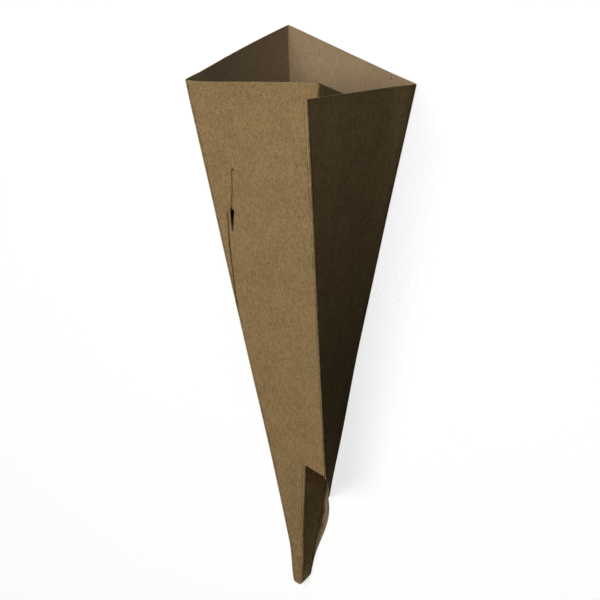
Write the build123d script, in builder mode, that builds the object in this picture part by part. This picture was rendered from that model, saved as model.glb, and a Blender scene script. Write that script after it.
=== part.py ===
"""Open paper cone for fries: one die-cut sheet of kraft board folded into a four-sided cone.

The cone lies on one of its sides. X runs from the tip to the mouth, Y to the left side, Z up.
It is drawn from the point where the side folds would meet, then moved so that the origin lies
in the middle of the resting side's outer face. Sizes are in mm and degrees.
Round the sheet in order: inner flap, front, left side, resting side, right side, outer flap.
"""
import os
from math import cos, radians, sin, tan

from build123d import *

# the board and how it folds
board = 0.4                   # thickness of the kraft board
layer_gap = 0.15              # air between two layers that lie on each other
crease_radius = 0.8           # outside radius of a folded edge
crease_leg = 0.6              # flat board kept on each side of a folded edge

# the four sides, measured along the folds from the origin
back_fold_length = 242.0      # fold between the left side and the resting side
left_fold_length = 234.0      # fold between the left side and the front
right_fold_length = 231.0     # fold between the resting side and the right side
inner_fold_length = 242.0     # fold between the front and the inner flap
outer_fold_length = 238.0     # from the origin to the mouth corner of the outer flap
resting_side_angle = 15.0     # spread of the resting side at the origin
left_side_angle = 14.3
right_side_angle = 14.2
back_bend_angle = 90.0        # how far the left side is folded up from the resting side
right_bend_angle = 93.0       # how far the right side is folded up from the resting side
front_set_back = 6.4          # how far the front's corner stays short of the outer corner

# the lower ends of the sides and folds, measured from the origin
tip_at_back_fold = 19.0
tip_at_left_fold = 17.5
tip_at_inner_fold = 16.5
tip_at_right_fold = 24.0
tip_edge_bow = 1.2            # how far the resting side's lower edge bows towards the mouth
right_side_end = 57.0         # where the right side's lower edge meets its fold
outer_corner_along = 80.0     # lower corner of the outer flap, along the right fold
outer_corner_swing_angle = 34.5   # how far the right side has swung outward at that corner

# the resting side's free edge below the right side, along the right fold and out beyond it
free_edge_high = (51.5, 1.8)
free_edge_middle = (42.5, 2.3)
free_edge_low = (33.0, 1.2)
free_edge_tip = 0.7           # how far out the free edge ends at the tip

# the slit in the front: its lower end, from the origin along the left fold and square to it
slit_end_along = 175.5
slit_end_across = 7.8
slit_length = 25.515
slit_turn_angle = 11.53       # how far it turns away from the left fold towards the mouth
slit_clearance = 0.1          # air on each side of the tab where it passes the slit
lock_lift = 0.5               # how much higher the outer flap stands over the slit than a tight layer

# the outer flap's outline, along its fold from the mouth corner and across from the fold
outer_shoulder = (8.4, 15.0)
outer_cheek = (19.0, 29.4)
outer_edge_high = (73.5, 41.8)
outer_edge_low = (113.0, 36.8)
outer_heel = (136.3, 31.9)
outer_foot_mid = (148.6, 22.2)
outer_foot = (154.2, 12.0)

# the tab that dives through the slit, and the free finger hooked over the front below it
tab_set_in = 1.2              # from the slit's top end to the tab
tab_end_room = 8.815          # from the tab to the slit's lower end, left open beside the finger
tab_reach = 5.0               # flat part lying behind the front
tab_slope_angle = 40.0        # how steeply the tab dives through the slit
tab_corner_radius = 4.0
tab_root = 2.0                # part of the tab drawn on the flap itself
finger_length = 4.4
finger_width = 1.5
notch_width = 0.6

# the inner flap's outline, along its fold from the mouth corner and across from the fold
inner_shoulder = (8.2, 12.7)
inner_bulge = (44.0, 26.0)
inner_waist = (120.0, 20.0)
inner_heel = (178.0, 12.8)
inner_low_mid = (200.0, 9.9)
inner_foot = (221.4, 4.1)
inner_lean_start = 64.0       # nearer to the origin than this, the inner flap leans outward
inner_lean_out = 1.65         # how far it then leans out beyond the right fold at the tip

# middle of the resting side, from the point where the folds would meet
seat_along = 128.0

# how far the twisted sides are drawn past their ends, before they are cut to their outline
section_margin = 8.0
inner_section_margin = 2.5

up = Vector(0, 0, 1)
apex = Vector(0, 0, 0)


def turned(start: Vector, about: Vector, angle: float) -> Vector:
    """Direction start turned about another direction."""
    return start.rotate(Axis((0, 0, 0), about), angle)


def side_plane(origin: Vector, along: Vector, inside: Vector, outward: Vector) -> Plane:
    """Plane of one side: x along its fold, z out of the sheet, inside is a direction in the side."""
    normal = along.cross(inside).normalized()
    normal = normal if normal.dot(outward) > 0 else -normal
    return Plane(origin=origin, x_dir=along, z_dir=normal)


def square_to(fold: Vector, inside: Vector) -> Vector:
    """Direction square to a fold, pointing into a side."""
    return (inside - fold * inside.dot(fold)).normalized()


def local_points(plane: Plane, points: list) -> list:
    """Points in a plane's own x and y."""
    return [tuple(plane.to_local_coords(point))[:2] for point in points]


def outward_side(plane: Plane, across: Vector) -> int:
    """+1 where a plane's y runs in the direction across, -1 where it runs the other way."""
    return 1 if plane.y_dir.dot(across) > 0 else -1


def on_side(plane: Plane, across: Vector, spot: tuple) -> Vector:
    """Point given along the plane's fold and across it, in the direction across."""
    return plane.origin + plane.x_dir * spot[0] + across * spot[1]


def strip_inside(corner: Vector, n_a: Vector, n_b: Vector, t_a: float, t_b: float) -> Vector:
    """Inner corner of two joined strips of board, from their outer corner and outward normals."""
    c = n_a.dot(n_b)
    return corner + n_a * ((c * t_b - t_a) / (1 - c * c)) + n_b * ((c * t_a - t_b) / (1 - c * c))


def strip(section: Plane, outer: list, normals: list, depths: list, radius: float) -> Sketch:
    """Cross-section of folded board: outer corners, one outward normal and depth for each length."""
    inner = [outer[0] - normals[0] * depths[0]]
    for i in range(1, len(outer) - 1):
        inner.append(strip_inside(outer[i], normals[i - 1], normals[i], depths[i - 1], depths[i]))
    inner.append(outer[-1] - normals[-1] * depths[-1])
    with BuildSketch(section) as drawing:
        with BuildLine():
            Polyline(*local_points(section, outer + inner[::-1]), close=True)
        make_face()
        if radius > 0:
            for bend in local_points(section, outer[1:-1]):
                fillet(drawing.vertices().sort_by_distance(bend)[0], radius)
            for bend in local_points(section, inner[1:-1]):
                fillet(drawing.vertices().sort_by_distance(bend)[0], radius - board)
    return drawing.sketch


def trim_of(n_a: Vector, n_b: Vector) -> float:
    """Distance from a sharp fold line to where the flat board begins."""
    return crease_radius * tan(radians(n_a.get_angle(n_b)) / 2)


def edge_cut(corner: Vector, edge: Vector, through: Vector) -> Plane:
    """Cutting plane along a mouth edge and through the board, facing away from the tip."""
    normal = edge.cross(through).normalized()
    return Plane(origin=corner, z_dir=normal if normal.X > 0 else -normal)


def crease(start: Vector, end: Vector, side_a: Vector, side_b: Vector, n_a: Vector, n_b: Vector,
           cuts: list) -> Part:
    """Rounded fold from start to end with a short flat leg in each side, cut at the mouth."""
    fold = (end - start).normalized()
    leg = trim_of(n_a, n_b) + crease_leg
    square = Plane(origin=start, x_dir=square_to(fold, side_a), z_dir=fold)
    outer = [start + square_to(fold, side_a) * leg, start, start + square_to(fold, side_b) * leg]
    with BuildPart() as bend:
        extrude(strip(square, outer, [n_a, n_b], [board, board], crease_radius),
                amount=(end - start).length + crease_leg, dir=fold)
        for cut in cuts:
            split(bisect_by=cut, keep=Keep.BOTTOM)
    return bend.part


# fold directions, folded up from the resting side
back_dir = turned(Vector(1, 0, 0), up, resting_side_angle / 2)
right_dir = turned(Vector(1, 0, 0), up, -resting_side_angle / 2)
left_dir = turned(turned(back_dir, up, left_side_angle), back_dir, back_bend_angle)
outer_dir = turned(turned(right_dir, up, -right_side_angle), right_dir, -right_bend_angle)

# mouth corners
back_corner = back_dir * back_fold_length
right_corner = right_dir * right_fold_length
left_corner = left_dir * left_fold_length
outer_corner = outer_dir * outer_fold_length
right_edge = (outer_corner - right_corner).normalized()

resting_plane = Plane(origin=apex, x_dir=back_dir, z_dir=-up)
left_plane = side_plane(apex, left_dir, back_dir, Vector(0, 1, 0))
right_plane = side_plane(apex, right_dir, outer_dir, Vector(0, -1, 0))

# the inner flap lies behind the right side, and the front is folded down to meet that layer
seat = outer_corner - right_edge * front_set_back - right_plane.z_dir * (board + layer_gap)
front_plane = side_plane(apex, left_dir, seat, up)
front_across = square_to(left_dir, seat)
inner_fold = front_plane.z_dir.cross(right_plane.z_dir).normalized()
inner_fold = inner_fold if inner_fold.X > 0 else -inner_fold
front_corner = seat + inner_fold * (inner_fold_length - seat.length)
inner_plane = Plane(origin=front_corner, x_dir=-inner_fold, z_dir=right_plane.z_dir)
inner_across = square_to(inner_fold, -right_edge)

# the outer flap's plane holds its own mouth corner and the slit line, raised by one layer
slit_turn = radians(slit_turn_angle)
slit_end = on_side(front_plane, front_across, (slit_end_along, slit_end_across))
slit_dir = front_plane.x_dir * cos(slit_turn) + front_across * sin(slit_turn)
slit_top = slit_end + slit_dir * slit_length
slit_lift = front_plane.z_dir * (board + layer_gap + lock_lift)
flap_out = side_plane(slit_top + slit_lift, slit_dir, outer_corner - slit_top - slit_lift, up).z_dir

# the tab leaves the flap on the mouth side of the slit and passes the slit in the middle of the board
on_flap = square_to(slit_dir, outer_corner - slit_top - slit_lift)
toward_left = square_to(slit_dir, left_corner - front_corner)
slope = radians(tab_slope_angle)
tab_width = slit_length - tab_set_in - tab_end_room
ramp_back = (1.5 * board + layer_gap + lock_lift) / tan(slope) - board / sin(slope) / 2
ramp_run = (2 * board + 2 * layer_gap + lock_lift) / tan(slope)
tab_low = slit_top - slit_dir * (tab_set_in + tab_width)
ramp_low = tab_low + slit_lift + on_flap * ramp_back
ramp_high = ramp_low + slit_dir * tab_width

# the right side twists outward towards the tip, until its lower corner reaches the outer flap
swing = radians(outer_corner_swing_angle)
swing_base = right_dir * outer_corner_along
swing_dir = square_to(right_dir, outer_corner) * cos(swing) + right_plane.z_dir * sin(swing)
outer_low = swing_base + swing_dir * (flap_out.dot(outer_corner - swing_base) / flap_out.dot(swing_dir))
outer_fold = (outer_low - outer_corner).normalized()
flap_plane = Plane(origin=outer_corner, x_dir=outer_fold, z_dir=flap_out)
flap_across = square_to(outer_fold, slit_top - outer_corner)


def at_station(start: Vector, along: Vector, station: float) -> Vector:
    """Point of a straight line where X equals the station."""
    return start + along * ((station - start.X) / along.X)


def wall_outward(low: Vector, high: Vector) -> Vector:
    """Outward normal, within its cross-section, of a wall between two folds."""
    wall = (high - low).normalized()
    out = Vector(0, wall.Z, -wall.Y)
    return out if out.Y < 0 else -out


def flat_foot(station: float) -> Vector:
    """Where the inner flap's plane meets the resting side's outer face."""
    out = inner_plane.z_dir
    over = out.Z * front_corner.Z - out.X * (station - front_corner.X)
    return Vector(station, front_corner.Y + over / out.Y, 0)


# the inner flap is flat down to its lean, then ruled to a line that lies further out at the tip
mouth_station = back_fold_length + section_margin
tip_station = right_side_end - section_margin
inner_tip_station = tip_at_inner_fold - inner_section_margin
leaned_foot = at_station(apex, right_dir, inner_tip_station) - Vector(0, inner_lean_out, 0)
leaned_out = wall_outward(leaned_foot, at_station(front_corner, inner_fold, inner_tip_station))
tip_inner = front_corner - inner_fold * (inner_fold_length - tip_at_inner_fold)
flap_length = (outer_low - outer_corner).length


def foot_spot(across: float) -> tuple:
    """Point of the outer flap's foot edge, along and across from its fold."""
    return flap_length + (outer_foot[0] - flap_length) * across / outer_foot[1], across


def board_side(plane: Plane, outline: list) -> Part:
    """Flat side of the sheet with straight edges; the board lies behind the plane."""
    with BuildPart() as side:
        with BuildSketch(plane):
            with BuildLine():
                Polyline(*local_points(plane, outline), close=True)
            make_face()
        extrude(amount=-board)
    return side.part


def edge_point(corner: Vector, across: Vector, trim: float, far: Vector) -> Vector:
    """Where a straight edge from corner to far passes the trim line beside a fold."""
    run = far - corner
    return corner + run * (trim / run.dot(across))


def left_side() -> Part:
    """Left side, between the back fold and the left fold."""
    by_back = trim_of(resting_plane.z_dir, left_plane.z_dir)
    by_left = trim_of(left_plane.z_dir, front_plane.z_dir)
    from_back = square_to(back_dir, left_dir)
    from_left = square_to(left_dir, back_dir)
    tip_back = back_dir * tip_at_back_fold
    tip_left = left_dir * tip_at_left_fold
    return board_side(left_plane, [
        edge_point(back_corner, from_back, by_back, left_corner),
        edge_point(left_corner, from_left, by_left, back_corner),
        edge_point(tip_left, from_left, by_left, tip_back),
        edge_point(tip_back, from_back, by_back, tip_left),
    ])


def resting_side() -> Part:
    """Side the cone lies on; below the right side's end its edge runs free to the tip."""
    by_back = trim_of(resting_plane.z_dir, left_plane.z_dir)
    by_right = trim_of(resting_plane.z_dir, right_plane.z_dir)
    from_back = square_to(back_dir, right_dir)
    from_right = square_to(right_dir, back_dir)
    tip_right = right_dir * tip_at_right_fold - from_right * free_edge_tip
    tip_back = edge_point(back_dir * tip_at_back_fold, from_back, by_back, tip_right)
    bow = (tip_back + tip_right) * 0.5 + (back_dir + right_dir).normalized() * tip_edge_bow
    end = right_dir * right_side_end
    free_edge = [right_dir * spot[0] - from_right * spot[1]
                 for spot in (free_edge_high, free_edge_middle, free_edge_low)]
    corners = [
        end, end + from_right * by_right,
        edge_point(right_corner, from_right, by_right, back_corner),
        edge_point(back_corner, from_back, by_back, right_corner),
        tip_back,
    ]
    with BuildPart() as side:
        with BuildSketch(resting_plane):
            with BuildLine():
                Spline(*local_points(resting_plane, [tip_right] + free_edge[::-1] + [end]))
                Polyline(*local_points(resting_plane, corners))
                ThreePointArc(*local_points(resting_plane, [tip_back, bow, tip_right]))
            make_face()
        extrude(amount=-board)
    return side.part


def front_side() -> Part:
    """Front, between the left fold and the inner flap's fold, with the slit cut through it."""
    by_left = trim_of(left_plane.z_dir, front_plane.z_dir)
    by_inner = trim_of(front_plane.z_dir, inner_plane.z_dir)
    from_left = square_to(left_dir, front_corner)
    from_inner = square_to(inner_fold, left_corner - front_corner)
    by_tip = trim_of(front_plane.z_dir, leaned_out)
    tip_left = left_dir * tip_at_left_fold
    side = board_side(front_plane, [
        edge_point(left_corner, from_left, by_left, front_corner),
        edge_point(front_corner, from_inner, by_inner, left_corner),
        edge_point(tip_inner, from_inner, by_tip, tip_left),
        edge_point(tip_left, from_left, by_left, tip_inner),
    ])
    slit_plane = Plane(origin=(slit_top + slit_end) * 0.5, x_dir=slit_dir, z_dir=front_plane.z_dir)
    width = board / tan(slope) + board / sin(slope) + 2 * slit_clearance
    with BuildPart() as front:
        add(side)
        with BuildSketch(slit_plane):
            SlotOverall(slit_length, width)
        extrude(amount=board * 2, both=True, mode=Mode.SUBTRACT)
    return front.part


def right_side() -> Part:
    """Right side, twisted between its two folds, with both folds and a leg in each neighbour."""
    leg = trim_of(resting_plane.z_dir, right_plane.z_dir) + crease_leg
    sections = []
    for station in (mouth_station, tip_station):
        cut = Plane(origin=(station, 0, 0), x_dir=(0, 1, 0), z_dir=(1, 0, 0))
        low = at_station(apex, right_dir, station)
        high = at_station(outer_corner, outer_fold, station)
        wall_out = wall_outward(low, high)
        flap_in_cut = Vector(0, flap_out.Y, flap_out.Z)
        flap_run = square_to(flap_in_cut.normalized(), Vector(0, 1, 0))
        flap_leg = trim_of(flap_in_cut, wall_out) + crease_leg
        sections.append(strip(
            cut, [low + Vector(0, leg, 0), low, high, high + flap_run * flap_leg],
            [-up, wall_out, flap_in_cut.normalized()],
            [board, board, board / flap_in_cut.length], crease_radius))
    shoulder = on_side(flap_plane, flap_across, outer_shoulder)
    lower_edge = outer_low - right_dir * right_side_end
    turn = outward_side(flap_plane, flap_across)
    beyond_foot = [(spot[0], turn * spot[1]) for spot in (
        foot_spot(-leg), foot_spot(flap_leg + leg),
        (flap_length + section_margin, flap_leg + leg), (flap_length + section_margin, -leg))]
    with BuildPart() as side:
        for section in sections:
            add(section)
        loft(ruled=True)
        split(bisect_by=edge_cut(right_corner, right_edge, right_plane.z_dir), keep=Keep.BOTTOM)
        split(bisect_by=edge_cut(right_corner, back_corner - right_corner, up), keep=Keep.BOTTOM)
        split(bisect_by=edge_cut(outer_corner, shoulder - outer_corner, flap_out), keep=Keep.BOTTOM)
        split(bisect_by=edge_cut(outer_low, lower_edge, lower_edge.cross(outer_fold)), keep=Keep.TOP)
        with BuildSketch(flap_plane):
            with BuildLine():
                Polyline(*beyond_foot, close=True)
            make_face()
        extrude(amount=board + layer_gap, both=True, mode=Mode.SUBTRACT)
    return side.part


def flap_tab() -> Part:
    """Tab of the outer flap, diving through the slit and lying flat behind the front."""
    profile = Plane(origin=tab_low, x_dir=toward_left, z_dir=slit_dir)
    landing = tab_low + toward_left * (ramp_run - ramp_back) - front_plane.z_dir * (board + layer_gap)
    ramp_out = square_to((landing - ramp_low).normalized(), up)
    with BuildPart() as tab:
        extrude(strip(profile, [ramp_low + on_flap * tab_root, ramp_low, landing,
                                landing + toward_left * tab_reach],
                      [flap_out, ramp_out, front_plane.z_dir], [board, board, board], 0),
                amount=tab_width, dir=slit_dir)
        fillet(tab.edges().filter_by(Axis(apex, front_plane.z_dir)).sort_by(Axis(apex, toward_left))[-2:],
               tab_corner_radius)
    return tab.part


def outer_flap() -> Part:
    """Leaf-shaped outer flap lying over the front, with the notch and the hooked finger."""
    by_mouth = trim_of(right_plane.z_dir, flap_out)
    low_wall = (outer_low - right_dir * right_side_end).normalized()
    low_out = square_to(low_wall, right_plane.z_dir)
    by_foot = trim_of(low_out, flap_out)
    tab_high, tab_end, notch = (
        (along, abs(across)) for along, across in
        local_points(flap_plane, [ramp_high, ramp_low, slit_end + slit_lift]))
    finger_tip = (notch[0] - finger_length, notch[1] + notch_width)
    finger_base = (notch[0], notch[1] + notch_width / 2 + finger_width)
    start = (by_mouth * outer_shoulder[0] / outer_shoulder[1] * 0.6, by_mouth)
    side = outward_side(flap_plane, flap_across)

    def at(spot: tuple) -> tuple:
        return spot[0], side * spot[1]

    with BuildPart() as flap:
        with BuildSketch(flap_plane):
            with BuildLine():
                Spline(*[at(spot) for spot in (start, outer_shoulder, outer_cheek, tab_high)])
                Polyline(*[at(spot) for spot in (
                    tab_high, tab_end, (notch[0], notch[1] - notch_width / 2),
                    (notch[0], notch[1] + notch_width / 2), finger_tip, finger_base)])
                Spline(*[at(spot) for spot in (finger_base, outer_edge_high, outer_edge_low, outer_heel)])
                Spline(*[at(spot) for spot in (outer_heel, outer_foot_mid, outer_foot)])
                Polyline(*[at(spot) for spot in (outer_foot, foot_spot(by_foot), start)])
            make_face()
        extrude(amount=-board)
    return flap.part


def inner_flap() -> Part:
    """Leaf-shaped inner flap with its fold, tucked in behind the right side."""
    front_in_cut = Vector(0, front_plane.z_dir.Y, front_plane.z_dir.Z)
    front_run = square_to(front_in_cut.normalized(), Vector(0, 1, 0))
    leg = trim_of(front_in_cut, leaned_out) + crease_leg
    sections = []
    for foot in (flat_foot(mouth_station), flat_foot(inner_lean_start), leaned_foot):
        high = at_station(front_corner, inner_fold, foot.X)
        cut = Plane(origin=(foot.X, 0, 0), x_dir=(0, 1, 0), z_dir=(1, 0, 0))
        sections.append(strip(cut, [high + front_run * leg, high, foot],
                              [front_in_cut.normalized(), wall_outward(foot, high)],
                              [board / front_in_cut.length, board], crease_radius))
    side = outward_side(inner_plane, inner_across)
    foot_along = inner_fold_length - tip_at_inner_fold
    mouth_edge = inner_across * inner_shoulder[1] - inner_fold * inner_shoulder[0]
    start = (crease_leg * inner_shoulder[0] / inner_shoulder[1] * 0.6, crease_leg)

    def at(spot: tuple) -> tuple:
        return spot[0], side * spot[1]

    with BuildPart() as flap:
        for section in sections:
            add(section)
        loft(ruled=True)
        with BuildSketch(inner_plane):
            with BuildLine():
                Spline(*[at(spot) for spot in (start, inner_shoulder, inner_bulge, inner_waist,
                                               inner_heel, inner_low_mid, inner_foot)])
                Polyline(*[at(spot) for spot in (
                    inner_foot, (foot_along, 0), (foot_along + leg, -2 * leg), (-section_margin, -2 * leg),
                    (-section_margin, crease_leg), start)])
            make_face()
        extrude(amount=2 * leg + inner_lean_out, both=True, mode=Mode.INTERSECT)
        split(bisect_by=edge_cut(front_corner, left_corner - front_corner, front_plane.z_dir),
              keep=Keep.BOTTOM)
        split(bisect_by=edge_cut(front_corner, mouth_edge, inner_plane.z_dir), keep=Keep.BOTTOM)
        split(bisect_by=edge_cut(tip_inner, left_dir * tip_at_left_fold - tip_inner, front_plane.z_dir),
              keep=Keep.TOP)
        split(bisect_by=Plane(origin=up * (board + layer_gap), z_dir=up), keep=Keep.TOP)
    return flap.part


def creases() -> list:
    """The two straight folds beside the left side."""
    back = crease(
        back_dir * tip_at_back_fold, back_corner, right_dir, left_dir, resting_plane.z_dir,
        left_plane.z_dir, [
            edge_cut(back_corner, right_corner - back_corner, up),
            edge_cut(back_corner, left_corner - back_corner, left_plane.z_dir)])
    left = crease(
        left_dir * tip_at_left_fold, left_corner, back_dir, seat, left_plane.z_dir, front_plane.z_dir,
        [edge_cut(left_corner, back_corner - left_corner, left_plane.z_dir)])
    return [back, left]


with BuildPart() as card:
    add([resting_side(), left_side(), front_side(), right_side(), outer_flap(), flap_tab(), inner_flap()])
    add(creases())

cone = card.part.moved(Location((-seat_along, 0, 0)))
cone.label = "folded_cone"
os.makedirs("parts", exist_ok=True)
export_step(cone, "parts/folded_cone.step")
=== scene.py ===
"""Dresses the folded paper fries cone: kraft board with fibres, pale cut edges, worn folds with painted
highlights and painted shade in their scores, and a painted shadow line by the outer flap.
"""

import logging
import math
from dataclasses import dataclass, field
from enum import Enum

import bmesh
import bpy
from mathutils import Matrix, Vector, noise
from mathutils.bvhtree import BVHTree

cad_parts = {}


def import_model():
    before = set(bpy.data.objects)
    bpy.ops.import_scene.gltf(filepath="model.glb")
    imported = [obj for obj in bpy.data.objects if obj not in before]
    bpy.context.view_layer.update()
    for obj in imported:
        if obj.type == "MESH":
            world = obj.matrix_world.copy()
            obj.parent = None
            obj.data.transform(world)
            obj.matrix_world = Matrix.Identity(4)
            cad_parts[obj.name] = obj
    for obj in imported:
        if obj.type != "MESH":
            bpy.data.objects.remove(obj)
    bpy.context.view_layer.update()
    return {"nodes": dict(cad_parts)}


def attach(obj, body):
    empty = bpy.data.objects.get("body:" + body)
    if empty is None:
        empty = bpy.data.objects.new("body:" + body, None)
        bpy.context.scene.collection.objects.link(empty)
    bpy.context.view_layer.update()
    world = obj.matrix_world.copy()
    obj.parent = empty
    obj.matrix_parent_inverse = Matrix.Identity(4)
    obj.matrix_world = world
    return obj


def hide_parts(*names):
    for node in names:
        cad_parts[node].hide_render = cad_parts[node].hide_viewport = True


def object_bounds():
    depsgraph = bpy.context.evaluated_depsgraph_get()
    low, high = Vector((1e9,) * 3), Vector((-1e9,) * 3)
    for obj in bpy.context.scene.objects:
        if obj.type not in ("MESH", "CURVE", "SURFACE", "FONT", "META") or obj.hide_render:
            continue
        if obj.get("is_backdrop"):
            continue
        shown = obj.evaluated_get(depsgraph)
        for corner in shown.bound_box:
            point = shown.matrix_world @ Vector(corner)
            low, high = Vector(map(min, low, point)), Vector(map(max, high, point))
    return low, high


LOG = logging.getLogger("fries_cone")
MM_PER_M = 1000

Colour = tuple[float, float, float]
Point = tuple[float, float, float]
Span = tuple[float, float]


class Mask(Enum):
    """Named values that the card's mesh carries for its material."""

    CUT = "cut_edge"
    INSIDE = "inside_face"
    FOLD = "from_fold_mm"
    # The gap values place a painted shadow line beside the outer flap's raised edge.
    GAP = "from_gap_shadow_mm"
    GAP_SHOWN = "gap_shadow_shown"


@dataclass(frozen=True)
class KraftFinish:
    """Colours and strengths of the uncoated kraft board.

    Gains and losses are shares of the board's own brightness. The relief is in metres.
    """

    outside: Colour = (0.240, 0.158, 0.070)
    inside: Colour = (0.245, 0.172, 0.100)
    cut: Colour = (0.400, 0.290, 0.165)
    fleck: Colour = (0.075, 0.045, 0.020)
    fibre: Colour = (0.380, 0.275, 0.150)
    contrast: float = 0.30
    inside_calm: float = 0.65
    # The fold gain is partly rubbed wear and partly a painted highlight on the rounded fold; the score loss
    # is painted shade in the score groove.
    rubbed_and_highlight_gain: float = 0.24
    score_shade_loss: float = 0.55
    # Darkening of the painted shadow line beside the outer flap.
    gap_shadow_loss: float = 0.86
    fibre_share: float = 0.35
    fleck_share: float = 0.60
    roughness: float = 0.92
    sheen_level: float = 0.06
    relief: float = 0.00007
    relief_strength: float = 0.6
    score_depth: float = 1.6


@dataclass(frozen=True)
class FloorFinish:
    """The plain pale floor: near white to the camera, dark to everything else."""

    lit: Colour = (0.26, 0.26, 0.26)
    glow: Colour = (0.76, 0.76, 0.76)
    bounce: Colour = (0.02, 0.02, 0.02)


class NodeKit:
    """Short calls for wiring shader nodes in one tree."""

    def __init__(self, tree: bpy.types.NodeTree) -> None:
        """Starts on a cleared tree.

        Args:
            tree: The node tree to fill.
        """
        self.tree = tree
        tree.nodes.clear()
        self.column = 0

    def add(self, kind: str, **settings: object) -> bpy.types.Node:
        """Adds a node and sets its attributes.

        Args:
            kind: The node's Blender type name.
            **settings: Attributes of the node by name.

        Returns:
            The new node.
        """
        node = self.tree.nodes.new(kind)
        node.location = (self.column * 180, 0)
        self.column += 1
        for name, value in settings.items():
            setattr(node, name, value)
        return node

    def feed(self, socket: bpy.types.NodeSocket, source: object) -> None:
        """Links a socket to a source, or sets its constant value.

        Args:
            socket: The input socket.
            source: An output socket, a number or a tuple.
        """
        if isinstance(source, bpy.types.NodeSocket):
            self.tree.links.new(source, socket)
        elif isinstance(source, tuple) and len(source) == 3 and socket.type == "RGBA":
            socket.default_value = (*source, 1.0)
        else:
            socket.default_value = source

    def math(self, operation: str, *values: object) -> bpy.types.NodeSocket:
        """Adds a Math node.

        Args:
            operation: The Math node's operation.
            *values: Its inputs in order.

        Returns:
            The result socket.
        """
        node = self.add("ShaderNodeMath", operation=operation)
        for socket, value in zip(node.inputs, values):
            self.feed(socket, value)
        return node.outputs[0]

    def mix(self, factor: object, first: object, second: object) -> bpy.types.NodeSocket:
        """Mixes two colours.

        Args:
            factor: Share of the second colour.
            first: Colour at factor 0.
            second: Colour at factor 1.

        Returns:
            The mixed colour socket.
        """
        node = self.add("ShaderNodeMix", data_type="RGBA")
        self.feed(node.inputs[0], factor)
        self.feed(node.inputs[6], first)
        self.feed(node.inputs[7], second)
        return node.outputs[2]

    def scaled(self, colour: object, factor: object) -> bpy.types.NodeSocket:
        """Multiplies a colour by a number.

        Args:
            colour: The colour.
            factor: The number.

        Returns:
            The product, as a colour.
        """
        node = self.add("ShaderNodeVectorMath", operation="SCALE")
        self.feed(node.inputs[0], colour)
        self.feed(node.inputs["Scale"], factor)
        return node.outputs[0]

    def inverse(self, value: object) -> bpy.types.NodeSocket:
        """Takes a value from 1."""
        return self.math("SUBTRACT", 1.0, value)

    def ramp(self, value: object, low: float, high: float) -> bpy.types.NodeSocket:
        """Maps low..high to a smooth 0..1.

        Args:
            value: The value socket.
            low: Value that becomes 0.
            high: Value that becomes 1.

        Returns:
            The mapped socket.
        """
        node = self.add("ShaderNodeMapRange", interpolation_type="SMOOTHSTEP")
        for socket, number in zip(node.inputs, (value, low, high, 0.0, 1.0)):
            self.feed(socket, number)
        return node.outputs[0]

    def noise(self, vector: object, scale: float, detail: float) -> bpy.types.NodeSocket:
        """Adds a noise texture and returns its value.

        Args:
            vector: Coordinates to read it at.
            scale: The noise's scale.
            detail: Number of octaves.

        Returns:
            The value socket.
        """
        node = self.add("ShaderNodeTexNoise")
        self.feed(node.inputs["Vector"], vector)
        self.feed(node.inputs["Scale"], scale)
        self.feed(node.inputs["Detail"], detail)
        return node.outputs[0]

    def stretched(self, vector: object, turn: Point, size: Point) -> bpy.types.NodeSocket:
        """Turns and stretches coordinates.

        Args:
            vector: The coordinates.
            turn: Euler angles in radians.
            size: Scale along each turned axis.

        Returns:
            The mapped coordinates socket.
        """
        node = self.add("ShaderNodeMapping", vector_type="POINT")
        self.feed(node.inputs["Vector"], vector)
        node.inputs["Rotation"].default_value = turn
        node.inputs["Scale"].default_value = size
        return node.outputs[0]


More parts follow.
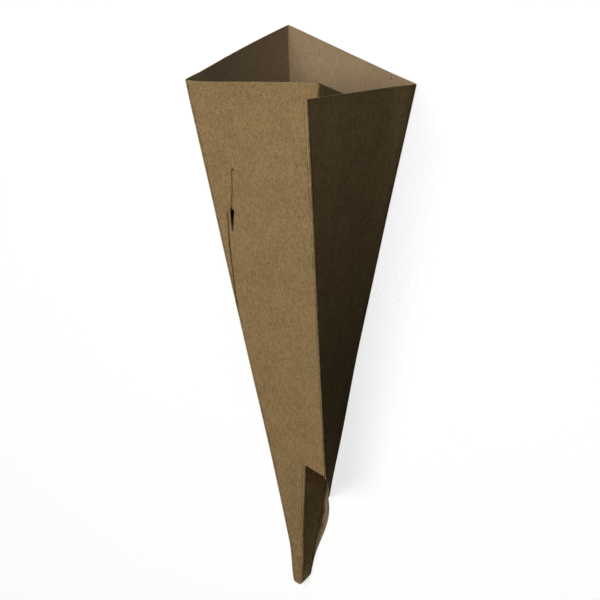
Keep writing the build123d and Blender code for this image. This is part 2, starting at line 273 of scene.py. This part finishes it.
@dataclass
class FibreGroup:
    """Shader group that gives the kraft board's tone, pale fibres, dark flecks and relief.

    Scales are in features per metre. Shares say how much each layer gives to the tone or the height.
    """

    name: str = "kraft_fibres"
    cloud_scale: float = 110.0
    mottle_scale: float = 620.0
    grain_scale: float = 1900.0
    streak_size: Point = (220.0, 2300.0, 2300.0)
    tone_shares: tuple[float, ...] = (0.12, 0.14, 0.50, 0.24)
    strand_size: Point = (330.0, 2300.0, 2300.0)
    strand_angles: tuple[float, ...] = (0.35, 1.25, 2.15, 2.85)
    strand_span: Span = (0.69, 0.78)
    speck_scale: float = 420.0
    speck_span: Span = (0.08, 0.24)
    patch_scale: float = 170.0
    patch_span: Span = (0.60, 0.66)
    grain_height: float = 0.8
    fibre_height: float = 0.5

    def build(self) -> bpy.types.NodeTree:
        """Builds the group once.

        Returns:
            The node group, with outputs Tone, Fibre, Fleck and Height.
        """
        tree = bpy.data.node_groups.new(self.name, "ShaderNodeTree")
        kit = NodeKit(tree)
        tree.interface.new_socket("Vector", in_out="INPUT", socket_type="NodeSocketVector")
        for name in ("Tone", "Fibre", "Fleck", "Height"):
            tree.interface.new_socket(name, in_out="OUTPUT", socket_type="NodeSocketFloat")
        point = kit.add("NodeGroupInput").outputs["Vector"]
        leave = kit.add("NodeGroupOutput")
        grain = kit.noise(point, self.grain_scale, 1.5)
        layers = (
            kit.noise(point, self.cloud_scale, 3.0),
            kit.noise(point, self.mottle_scale, 2.0),
            grain,
            kit.noise(kit.stretched(point, (0.0, 0.0, 0.0), self.streak_size), 1.0, 1.0),
        )
        tone: object = 0.0
        for layer, share in zip(layers, self.tone_shares):
            tone = kit.math("ADD", tone, kit.math("MULTIPLY", layer, share))
        fibre = self._fibres(kit, point)
        height = kit.math("ADD", kit.math("MULTIPLY", grain, self.grain_height),
                          kit.math("MULTIPLY", fibre, self.fibre_height))
        for socket, value in zip(leave.inputs, (tone, fibre, self._flecks(kit, point), height)):
            kit.feed(socket, value)
        return tree

    def _fibres(self, kit: NodeKit, point: bpy.types.NodeSocket) -> bpy.types.NodeSocket:
        """Draws short strands lying in several directions.

        Args:
            kit: The group's node kit.
            point: Coordinates.

        Returns:
            A 0..1 mask of strands.
        """
        total: object = 0.0
        for i, angle in enumerate(self.strand_angles):
            turned = kit.stretched(point, (0.4 * i, 0.3 + 0.5 * i, angle), self.strand_size)
            strand = kit.ramp(kit.noise(turned, 1.0, 0.0), *self.strand_span)
            total = kit.math("MAXIMUM", total, strand)
        return total

    def _flecks(self, kit: NodeKit, point: bpy.types.NodeSocket) -> bpy.types.NodeSocket:
        """Draws dark specks, which lie in scattered patches.

        Args:
            kit: The group's node kit.
            point: Coordinates.

        Returns:
            A 0..1 mask of specks.
        """
        specks = kit.add("ShaderNodeTexVoronoi", feature="F1")
        kit.feed(specks.inputs["Vector"], point)
        kit.feed(specks.inputs["Scale"], self.speck_scale)
        dots = kit.inverse(kit.ramp(specks.outputs["Distance"], *self.speck_span))
        return kit.math("MULTIPLY", dots, kit.ramp(kit.noise(point, self.patch_scale, 1.0), *self.patch_span))


@dataclass
class KraftMaterial:
    """The card's material, made from one finish. Distances are in millimetres."""

    finish: KraftFinish
    fibres: bpy.types.NodeTree
    tone_span: Span = (0.36, 0.64)
    # Fold strip: partly rubbed wear, partly painted highlight; score line: painted shade.
    rubbed_and_highlight_tone_span: Span = (0.36, 0.56)
    rubbed_and_highlight_edge: float = 0.35
    score_at: float = 1.25
    score_half_width: float = 0.34
    # Width of the painted shadow line beside the outer flap.
    gap_shadow_core: float = 0.08
    gap_shadow_half_width: float = 0.52

    def build(self, name: str) -> bpy.types.Material:
        """Builds the material.

        Args:
            name: The material's name.

        Returns:
            The new material.
        """
        look = self.finish
        material = bpy.data.materials.new(name)
        material.use_nodes = True
        kit = NodeKit(material.node_tree)
        out = kit.add("ShaderNodeOutputMaterial")
        shader = kit.add("ShaderNodeBsdfPrincipled")
        group = kit.add("ShaderNodeGroup", node_tree=self.fibres)
        kit.feed(group.inputs["Vector"], kit.add("ShaderNodeTexCoord").outputs["Object"])
        masks = {mask: kit.add("ShaderNodeAttribute", attribute_name=mask.value).outputs["Fac"]
                 for mask in Mask}
        tone = group.outputs["Tone"]
        rubbed_and_highlight, score = self._fold_masks(kit, masks[Mask.FOLD], tone)
        light = self._grain_light(kit, tone, masks[Mask.INSIDE])
        # Partly wear and partly painted highlight along the folds, then painted shade in the score lines.
        light = kit.math("ADD", light, kit.math("MULTIPLY", rubbed_and_highlight, look.rubbed_and_highlight_gain))
        light = kit.math("SUBTRACT", light, kit.math("MULTIPLY", score, look.score_shade_loss))
        # Painted shadow line beside the outer flap's raised edge.
        shade = self._gap_shadow_mask(kit, masks[Mask.GAP], masks[Mask.GAP_SHOWN])
        light = kit.math("MULTIPLY", light, kit.math("MULTIPLY_ADD", shade, -look.gap_shadow_loss, 1.0))
        colour = kit.mix(masks[Mask.INSIDE], look.outside, look.inside)
        colour = kit.scaled(kit.mix(masks[Mask.CUT], colour, look.cut), light)
        fibre = kit.math("MULTIPLY", group.outputs["Fibre"], look.fibre_share)
        fleck = kit.math("MULTIPLY", group.outputs["Fleck"], look.fleck_share)
        colour = kit.mix(fleck, kit.mix(fibre, colour, look.fibre), look.fleck)
        groove = kit.math("MULTIPLY", score, look.score_depth)
        bump = kit.add("ShaderNodeBump")
        kit.feed(bump.inputs["Strength"], look.relief_strength)
        kit.feed(bump.inputs["Distance"], look.relief)
        kit.feed(bump.inputs["Height"], kit.math("SUBTRACT", group.outputs["Height"], groove))
        kit.feed(shader.inputs["Base Color"], colour)
        kit.feed(shader.inputs["Roughness"], look.roughness)
        kit.feed(shader.inputs["Specular IOR Level"], look.sheen_level)
        kit.feed(shader.inputs["Normal"], bump.outputs["Normal"])
        kit.feed(out.inputs["Surface"], shader.outputs["BSDF"])
        return material

    def _grain_light(self, kit: NodeKit, tone: object, inside: object) -> bpy.types.NodeSocket:
        """Turns the tone into a brightness around 1, calmer on the inside of the cone.

        Args:
            kit: The material's node kit.
            tone: The board's tone.
            inside: Mask of the faces that look into the cone.

        Returns:
            The brightness.
        """
        full = 2 * self.finish.contrast
        strength = kit.math("MULTIPLY_ADD", inside, -full * self.finish.inside_calm, full)
        centred = kit.math("SUBTRACT", kit.ramp(tone, *self.tone_span), 0.5)
        return kit.math("MULTIPLY_ADD", centred, strength, 1.0)

    def _fold_masks(self, kit: NodeKit, far: object, tone: object) -> tuple[object, object]:
        """Masks of the strip on a fold, partly rubbed wear and partly painted highlight, and of the score
        line beside it, which gets painted shade.

        Args:
            kit: The material's node kit.
            far: Distance from the nearest fold.
            tone: The board's tone, which breaks up the rubbed and highlighted strip.

        Returns:
            The rubbed-and-highlight mask and the score mask.
        """
        near = kit.inverse(kit.ramp(far, self.score_at - self.rubbed_and_highlight_edge, self.score_at))
        rubbed_and_highlight = kit.math("MULTIPLY", near, kit.ramp(tone, *self.rubbed_and_highlight_tone_span))
        off = kit.math("ABSOLUTE", kit.math("SUBTRACT", far, self.score_at))
        return rubbed_and_highlight, kit.inverse(kit.ramp(off, 0.0, self.score_half_width))

    def _gap_shadow_mask(self, kit: NodeKit, gap_shadow_distance: object, shown: object) -> bpy.types.NodeSocket:
        """Masks the painted shadow line where the outer flap stands off the front.

        Args:
            kit: The material's node kit.
            gap_shadow_distance: Signed distance from the line.
            shown: Where the line can be seen.

        Returns:
            The mask.
        """
        line = kit.inverse(kit.ramp(kit.math("ABSOLUTE", gap_shadow_distance), self.gap_shadow_core, self.gap_shadow_half_width))
        return kit.math("MULTIPLY", line, shown)


@dataclass(frozen=True)
class Fold:
    """A straight fold of the card, from its lower end to its mouth end, in metres."""

    low: Vector
    mouth: Vector

    def distance(self, point: Vector) -> float:
        """Measures how far a point is from the fold's line.

        Args:
            point: The point.

        Returns:
            The distance.
        """
        along = (self.mouth - self.low).normalized()
        reach = point - self.low
        return (reach - along * reach.dot(along)).length

    def at(self, x: float) -> Vector:
        """Point of the fold's line at a given X."""
        return self.low.lerp(self.mouth, (x - self.low.x) / (self.mouth.x - self.low.x))


@dataclass(frozen=True)
class ConeFolds:
    """The cone's folds, which meet in one point, and the outer flap's own fold."""

    apex: Vector = Vector((-0.128, 0.0, 0.0))
    back_mouth: Vector = Vector((0.1119, 0.0316, 0.0))
    right_mouth: Vector = Vector((0.1010, -0.0302, 0.0))
    left_mouth: Vector = Vector((0.0968, 0.0296, 0.0578))
    inner_mouth: Vector = Vector((0.1065, -0.0275, 0.0531))
    outer_mouth: Vector = Vector((0.1012, -0.0271, 0.0583))
    outer_low: Vector = Vector((-0.0506, -0.0246, 0.0234))

    @property
    def back(self) -> Fold:
        """Fold between the left side and the resting side."""
        return Fold(self.apex, self.back_mouth)

    @property
    def right(self) -> Fold:
        """Fold between the resting side and the right side."""
        return Fold(self.apex, self.right_mouth)

    @property
    def left(self) -> Fold:
        """Fold between the left side and the front."""
        return Fold(self.apex, self.left_mouth)

    @property
    def inner(self) -> Fold:
        """Fold between the front and the inner flap."""
        return Fold(self.apex, self.inner_mouth)

    @property
    def outer(self) -> Fold:
        """Fold between the right side and the outer flap."""
        return Fold(self.outer_low, self.outer_mouth)

    def front_height(self, point: Vector) -> float:
        """Measures how high a point stands over the front's outer face.

        Args:
            point: The point.

        Returns:
            The height, which is below zero inside the cone.
        """
        normal = (self.inner_mouth - self.apex).cross(self.left_mouth - self.apex).normalized()
        return (point - self.apex).dot(normal if normal.z > 0 else -normal)


def eased(value: float, start: float, end: float) -> float:
    """Eases from 0 at start to 1 at end, which may lie below start.

    Args:
        value: Where the step is read.
        start: Value that gives 0.
        end: Value that gives 1.

    Returns:
        The eased share.
    """
    t = min(max((value - start) / (end - start), 0.0), 1.0)
    return t * t * (3.0 - 2.0 * t)


@dataclass
class CardSag:
    """How the handled card departs from straight folds and flat sides, in metres.

    Each span gives the two values between which a shift grows from nothing to its full size.
    """

    folds: ConeFolds
    wave: float = 0.00020
    wave_length: float = 0.055
    wave_start: Point = (3.1, 7.7, 1.3)
    table_span: Span = (0.0006, 0.012)
    front_face: float = 0.00008
    board: float = 0.0004
    side_depth: float = 0.0008
    left_reach: Span = (0.011, 0.001)
    left_bow: float = 0.0023
    left_bow_low: Span = (-0.1119, -0.092)
    left_bow_high: Span = (0.065, -0.065)
    left_flare: float = 0.0009
    left_flare_span: Span = (0.045, 0.095)
    left_side_bow: float = 0.0013
    left_side_span: Span = (0.03, 0.10)
    slit_gap: float = 0.0011
    slit_low_along: float = 0.1755
    slit_low_across: float = 0.0078
    slit_slope: float = 0.204
    slit_open_length: float = 0.0135
    slit_reach: Span = (0.007, 0.0)
    right_reach: Span = (0.012, 0.001)
    right_inner_gap: float = 0.00062
    right_foot: float = 0.00045
    right_flare: float = 0.0003
    right_flare_span: Span = (-0.096, -0.076)
    right_mouth_flare: float = 0.0006
    right_mouth_span: Span = (0.04, 0.10)
    right_low_flare: float = 0.0009
    right_low_span: Span = (-0.002, -0.050)
    front_dip: float = 0.0005
    front_dip_corner: Span = (0.0, 0.10)
    front_dip_reach: Span = (0.020, 0.0)
    front_dip_above: float = 0.04

    def shift(self, point: Vector, home: Vector) -> Vector:
        """Works out how far a point moves.

        Args:
            point: Where the shift is read.
            home: The vertex that moves; it settles which layer of the card this is.

        Returns:
            The shift.
        """
        total = noise.noise_vector(point / self.wave_length + Vector(self.wave_start)) * self.wave
        total.z *= eased(home.z, *self.table_span)
        total.y += self._left(point, home) - self._right(point, home)
        total.x -= self._mouth(point, home)
        return total

    def _left(self, point: Vector, home: Vector) -> float:
        """Works out the shift at the left, which the outer flap doesn't follow.

        The fold bows inward in its lower half and flares at the mouth, and the side bows out there.

        Args:
            point: Where the shift is read.
            home: The vertex that moves.

        Returns:
            The shift towards the left.
        """
        if self.folds.front_height(home) > self.front_face:
            return 0.0
        near = eased(self.folds.left.distance(point), *self.left_reach)
        bow = self.left_bow * eased(point.x, *self.left_bow_low) * eased(point.x, *self.left_bow_high)
        flare = self.left_flare * eased(point.x, *self.left_flare_span)
        total = near * (flare - bow) + self._slit(home)
        low, high = self.folds.back.at(home.x), self.folds.left.at(home.x)
        if abs(home.y - low.lerp(high, home.z / max(high.z, self.board / 4)).y) < self.side_depth:
            share = min(max(point.z / high.z, 0.0), 1.0)
            crown = 4 * share * (1 - share)
            total += self.left_side_bow * crown * eased(point.x, *self.left_side_span)
        return total

    def _slit(self, home: Vector) -> float:
        """Works out how far the strip beside the slit's lower end stands away from the slit.

        Args:
            home: The vertex that moves.

        Returns:
            The shift towards the left.
        """
        fold = self.folds.left
        along = (home - fold.low).dot((fold.mouth - fold.low).normalized()) - self.slit_low_along
        off = self.slit_low_across + self.slit_slope * along - fold.distance(home)
        in_front = self.folds.front_height(home) >= -1.5 * self.board
        if off < 0 or not in_front or not 0 < along < self.slit_open_length:
            return 0.0
        crown = math.sin(math.pi * along / self.slit_open_length)
        return self.slit_gap * crown * eased(off, *self.slit_reach)

    def _right(self, point: Vector, home: Vector) -> float:
        """Works out how far the right side's fold flares, which the inner flap doesn't follow.

        Args:
            point: Where the shift is read.
            home: The vertex that moves.

        Returns:
            The shift towards the right.
        """
        low, high = self.folds.right.at(home.x), self.folds.outer.at(home.x)
        lean = (low.y - high.y) / max(high.z, self.board / 4)
        if home.z > self.right_foot and home.y - low.y > self.right_inner_gap - lean * home.z:
            return 0.0
        off_tip = eased(point.x, *self.right_flare_span)
        lower = self.right_low_flare * eased(point.x, *self.right_low_span) * off_tip
        mouth = self.right_mouth_flare * eased(point.x, *self.right_mouth_span)
        near = eased(self.folds.right.distance(point), *self.right_reach)
        return near * (lower + mouth + self.right_flare * off_tip)

    def _mouth(self, point: Vector, home: Vector) -> float:
        """Works out how deep the front's mouth edge is cut in.

        Args:
            point: Where the shift is read.
            home: The vertex that moves.

        Returns:
            The shift towards the tip.
        """
        middle = self.folds.front_height(home) + self.board / 2
        if abs(middle) > 0.75 * self.board or home.z < self.front_dip_above:
            return 0.0
        left, inner = self.folds.left_mouth, self.folds.inner_mouth
        share = (left.y - point.y) / (left.y - inner.y)
        edge = left.lerp(inner, share)
        depth = self.front_dip * eased(share, *self.front_dip_corner) * (1.0 - share)
        return depth * eased(edge.x - point.x, *self.front_dip_reach)


@dataclass(frozen=True)
class GapShadowLine:
    """The painted shadow line beside the outer flap's free edge, as distances from the left fold in metres.
    """

    folds: ConeFolds
    low_x: float = 0.004
    slope: float = 0.132
    kink_x: float = 0.040
    kink_slope: float = 0.16
    lowest: float = -0.002
    shown_x: Span = (0.0, 0.049)
    face_depth: float = 0.0001

    def distance(self, point: Vector) -> float:
        """Measures the signed distance from the line.

        Args:
            point: A point of the card.

        Returns:
            The distance, which is below zero on the side of the left fold.
        """
        line = self.slope * (point.x - self.low_x) + self.kink_slope * max(0.0, point.x - self.kink_x)
        return self.folds.left.distance(point) - max(line, self.lowest)

    def shown(self, point: Vector) -> bool:
        """Tells whether a point lies on the part of the front's outer face that has the line.

        Args:
            point: A point of the card.

        Returns:
            True where the line can be seen.
        """
        low, high = self.shown_x
        return abs(self.folds.front_height(point)) < self.face_depth and low < point.x < high


@dataclass
class FoldedCard:
    """The one folded sheet, drawn over its CAD node. Lengths are in metres.

    A face is broad if a ray of `reach` board thicknesses from behind it meets a face that looks back.
    """

    node: bpy.types.Object
    finish: KraftFinish = field(default_factory=KraftFinish)
    folds: ConeFolds = field(default_factory=ConeFolds)
    board: float = 0.0004
    cell: float = 0.005
    weld: float = 1e-7
    skin: float = 1e-5
    reach: float = 1.6
    facing: float = -0.5
    slope_step: float = 0.0005
    crisp_deg: float = 32.0
    inner_shown_to: float = -0.045

    def build(self) -> bpy.types.Object:
        """Makes the finer mesh and its material.

        Returns:
            The card's object, riding on the root body.
        """
        coarse = self._coarse()
        normals = [self._corner_normals(face) for face in coarse.faces]
        mesh = self._fine(coarse, normals)
        coarse.free()
        card = bpy.data.objects.new("kraft_card", mesh)
        bpy.context.scene.collection.objects.link(card)
        mesh.materials.append(KraftMaterial(self.finish, FibreGroup().build()).build("kraft_board"))
        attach(card, "root")
        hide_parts(self.node.name)
        return card

    def _coarse(self) -> bmesh.types.BMesh:
        """Welds the CAD mesh and marks its cut edges and the faces that look into the cone.

        Returns:
            The welded triangles.
        """
        mesh = bmesh.new()
        mesh.from_mesh(self.node.data)
        bmesh.ops.remove_doubles(mesh, verts=mesh.verts, dist=self.weld)
        bmesh.ops.triangulate(mesh, faces=mesh.faces)
        mesh.normal_update()
        mesh.faces.index_update()
        mesh.faces.ensure_lookup_table()
        tree = BVHTree.FromBMesh(mesh)
        cut = mesh.faces.layers.float.new(Mask.CUT.value)
        inside = mesh.faces.layers.float.new(Mask.INSIDE.value)
        for face in mesh.faces:
            middle, normal = face.calc_center_median(), face.normal
            hit = tree.ray_cast(middle - normal * self.skin, -normal, self.board * self.reach)
            broad = hit[0] is not None and hit[1].dot(normal) < self.facing
            core = (self.folds.left.at(middle.x) + self.folds.right.at(middle.x)) / 2
            face[cut] = float(not broad)
            face[inside] = float(broad and normal.dot(core - middle) > 0)
        return mesh

    def _corner_normals(self, face: bmesh.types.BMFace) -> list[Vector]:
        """Averages the normals around each corner of a triangle, but not over crisp edges.

        Args:
            face: The triangle.

        Returns:
            The normals at its three corners.
        """
        limit = math.cos(math.radians(self.crisp_deg))
        corners = []
        for vert in face.verts:
            total = Vector()
            for other in vert.link_faces:
                if other.normal.dot(face.normal) > limit:
                    total += other.normal * other.calc_area()
            corners.append(total.normalized() if total.length else face.normal.copy())
        return corners

    def _fine(self, coarse: bmesh.types.BMesh, normals: list[list[Vector]]) -> bpy.types.Mesh:
        """Cuts the mesh into small cells, lets it sag and gives it smooth normals.

        Args:
            coarse: The welded triangles.
            normals: Their corner normals.

        Returns:
            The new mesh.
        """
        fine = coarse.copy()
        source = fine.faces.layers.int.new("source")
        for face in fine.faces:
            face[source] = face.index
        self._slice(fine)
        self._mark(fine)
        sag = CardSag(self.folds)
        loops = []
        for face in fine.faces:
            face.smooth = True
            corners = [vert.co for vert in coarse.faces[face[source]].verts]
            for loop in face.loops:
                smooth = self._blend(loop.vert.co, corners, normals[face[source]])
                loops.append(self._tilted(sag, loop.vert.co, smooth))
        moves = [sag.shift(vert.co, vert.co) for vert in fine.verts]
        for vert, move in zip(fine.verts, moves):
            vert.co += move
        mesh = bpy.data.meshes.new("kraft_card")
        fine.to_mesh(mesh)
        fine.free()
        mesh.normals_split_custom_set(loops)
        return mesh

    def _slice(self, fine: bmesh.types.BMesh) -> None:
        """Cuts a mesh along a grid of planes, so that it can bend.

        Args:
            fine: The mesh, which is changed.
        """
        for axis, (low, high) in enumerate(zip(*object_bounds())):
            direction = Vector([float(axis == i) for i in range(3)])
            for step in range(1, int((high - low) / self.cell) + 1):
                geometry = fine.verts[:] + fine.edges[:] + fine.faces[:]
                bmesh.ops.bisect_plane(fine, geom=geometry, dist=self.weld, plane_no=direction,
                                       plane_co=direction * (low + step * self.cell))
        bmesh.ops.triangulate(fine, faces=fine.faces)

    def _mark(self, fine: bmesh.types.BMesh) -> None:
        """Stores the distances in millimetres from the folds and from the painted shadow line.

        Args:
            fine: The mesh, which is changed.
        """
        far, gap_shadow_distance, gap_shadow_shown = (fine.verts.layers.float.new(mask.value)
                               for mask in (Mask.FOLD, Mask.GAP, Mask.GAP_SHOWN))
        line = GapShadowLine(self.folds)
        creased = (self.folds.left, self.folds.outer, self.folds.right)
        for vert in fine.verts:
            near = creased + (self.folds.inner,) * (vert.co.x < self.inner_shown_to)
            vert[far] = MM_PER_M * min(fold.distance(vert.co) for fold in near)
            vert[gap_shadow_distance] = MM_PER_M * line.distance(vert.co)
            vert[gap_shadow_shown] = float(line.shown(vert.co))

    @staticmethod
    def _blend(point: Vector, corners: list[Vector], values: list[Vector]) -> Vector:
        """Reads a value between the corners of a triangle.

        Args:
            point: A point in the triangle.
            corners: Its corners.
            values: The value at each corner.

        Returns:
            The value at the point, as a unit vector.
        """
        a, b, c = corners
        whole = (b - a).cross(c - a)
        size = max(whole.length_squared, 1e-24)
        weight_b = (point - a).cross(c - a).dot(whole) / size
        weight_c = (b - a).cross(point - a).dot(whole) / size
        total = values[0] * (1 - weight_b - weight_c) + values[1] * weight_b + values[2] * weight_c
        return total.normalized()

    def _tilted(self, sag: CardSag, point: Vector, normal: Vector) -> Vector:
        """Turns a normal by the slope of the sag.

        Args:
            sag: The sag.
            point: Where it is read.
            normal: The normal before it.

        Returns:
            The turned normal.
        """
        here = sag.shift(point, point).dot(normal)
        slope = Vector()
        for i in range(3):
            aside = point + Vector([self.slope_step * (i == j) for j in range(3)])
            slope[i] = (sag.shift(aside, point).dot(normal) - here) / self.slope_step
        return (normal - slope).normalized()


@dataclass(frozen=True)
class SoftLamp:
    """One soft area light: place, target and sides in metres, power in watts, beam in degrees."""

    name: str
    place: Point
    target: Point
    sides: Span
    power: float
    colour: Colour
    beam: float = 180.0

    def hang(self) -> None:
        """Adds the light to the scene."""
        data = bpy.data.lights.new(self.name, "AREA")
        data.shape = "RECTANGLE"
        data.size, data.size_y = self.sides
        data.energy = self.power
        data.color = self.colour
        data.spread = math.radians(self.beam)
        lamp = bpy.data.objects.new(self.name, data)
        lamp.location = self.place
        lamp.rotation_euler = (Vector(self.target) - Vector(self.place)).to_track_quat("-Z", "Y").to_euler()
        bpy.context.scene.collection.objects.link(lamp)
        lamp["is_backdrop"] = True


@dataclass
class Studio:
    """Floor, lights and camera: a wide key panel overhead, and a narrow fill along the mouth."""

    floor_finish: FloorFinish = field(default_factory=FloorFinish)
    floor_size: float = 8.0
    floor_drop: float = 0.00002
    lamps: tuple[SoftLamp, ...] = (
        SoftLamp("key", (0.42, 0.06, 1.25), (0.0, 0.0, 0.02), (1.0, 0.7), 18.6, (1.0, 0.99, 0.97)),
        SoftLamp("fill", (0.62, -0.60, 0.72), (0.10, -0.01, 0.03), (0.25, 0.25), 0.046,
                 (0.92, 1.0, 1.04), 24.0),
    )
    sky_strength: float = 0.01
    eye: Point = (0.22948, -0.40295, 0.52766)
    look: Point = (-0.31558, 0.58871, -0.7442)
    up: Point = (0.94537, 0.2626, -0.19315)
    lens: float = 108.0
    sensor: float = 36.0
    clip: Span = (0.01, 20.0)

    def build(self) -> None:
        """Builds everything that isn't the object."""
        self._floor()
        for lamp in self.lamps:
            lamp.hang()
        self._world()
        self._camera()

    def _floor(self) -> None:
        """Lays the floor that the card rests on."""
        bpy.ops.mesh.primitive_plane_add(size=self.floor_size, location=(0, 0, -self.floor_drop))
        floor = bpy.context.object
        floor.name = "floor"
        floor.data.materials.append(self._floor_material())
        floor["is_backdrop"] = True

    def _floor_material(self) -> bpy.types.Material:
        """Builds the floor's material, near white where it is seen and dark where it bounces light.

        Returns:
            The new material.
        """
        material = bpy.data.materials.new("floor")
        material.use_nodes = True
        kit = NodeKit(material.node_tree)
        out = kit.add("ShaderNodeOutputMaterial")
        seen = kit.add("ShaderNodeBsdfDiffuse")
        kit.feed(seen.inputs["Color"], self.floor_finish.lit)
        glow = kit.add("ShaderNodeEmission")
        kit.feed(glow.inputs["Color"], self.floor_finish.glow)
        lit = kit.add("ShaderNodeAddShader")
        kit.feed(lit.inputs[0], seen.outputs[0])
        kit.feed(lit.inputs[1], glow.outputs[0])
        dull = kit.add("ShaderNodeBsdfDiffuse")
        kit.feed(dull.inputs["Color"], self.floor_finish.bounce)
        path = kit.add("ShaderNodeLightPath").outputs
        shown = kit.math("MAXIMUM", path["Is Camera Ray"], path["Is Glossy Ray"])
        shown = kit.math("MAXIMUM", shown, path["Is Transmission Ray"])
        pick = kit.add("ShaderNodeMixShader")
        for socket, source in zip(pick.inputs, (shown, dull.outputs[0], lit.outputs[0])):
            kit.feed(socket, source)
        kit.feed(out.inputs["Surface"], pick.outputs[0])
        return material

    def _world(self) -> None:
        """Sets an even, weak surrounding light."""
        world = bpy.data.worlds.new("studio")
        bpy.context.scene.world = world
        world.use_nodes = True
        kit = NodeKit(world.node_tree)
        out = kit.add("ShaderNodeOutputWorld")
        sky = kit.add("ShaderNodeBackground")
        kit.feed(sky.inputs["Color"], (1.0, 1.0, 1.0))
        kit.feed(sky.inputs["Strength"], self.sky_strength)
        kit.feed(out.inputs["Surface"], sky.outputs[0])

    def _camera(self) -> None:
        """Places the camera as the photograph sees the cone."""
        data = bpy.data.cameras.new("camera")
        data.lens = self.lens
        data.sensor_width = self.sensor
        data.clip_start, data.clip_end = self.clip
        camera = bpy.data.objects.new("camera", data)
        back = -Vector(self.look).normalized()
        side = Vector(self.up).cross(back).normalized()
        turn = Matrix((side, back.cross(side), back)).transposed().to_4x4()
        camera.matrix_world = Matrix.Translation(self.eye) @ turn
        bpy.context.scene.collection.objects.link(camera)
        bpy.context.scene.camera = camera


def main() -> None:
    """Builds the scene in order."""
    logging.basicConfig(level=logging.INFO, format="%(name)s: %(message)s")
    bpy.ops.wm.read_factory_settings(use_empty=True)
    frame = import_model()
    card = FoldedCard(frame["nodes"]["folded_cone"]).build()
    LOG.info("card: %d faces", len(card.data.polygons))
    Studio().build()
    LOG.info("studio: floor, lights, camera")
    bpy.context.scene.view_settings.view_transform = "Standard"


if __name__ == "__main__":
    main()
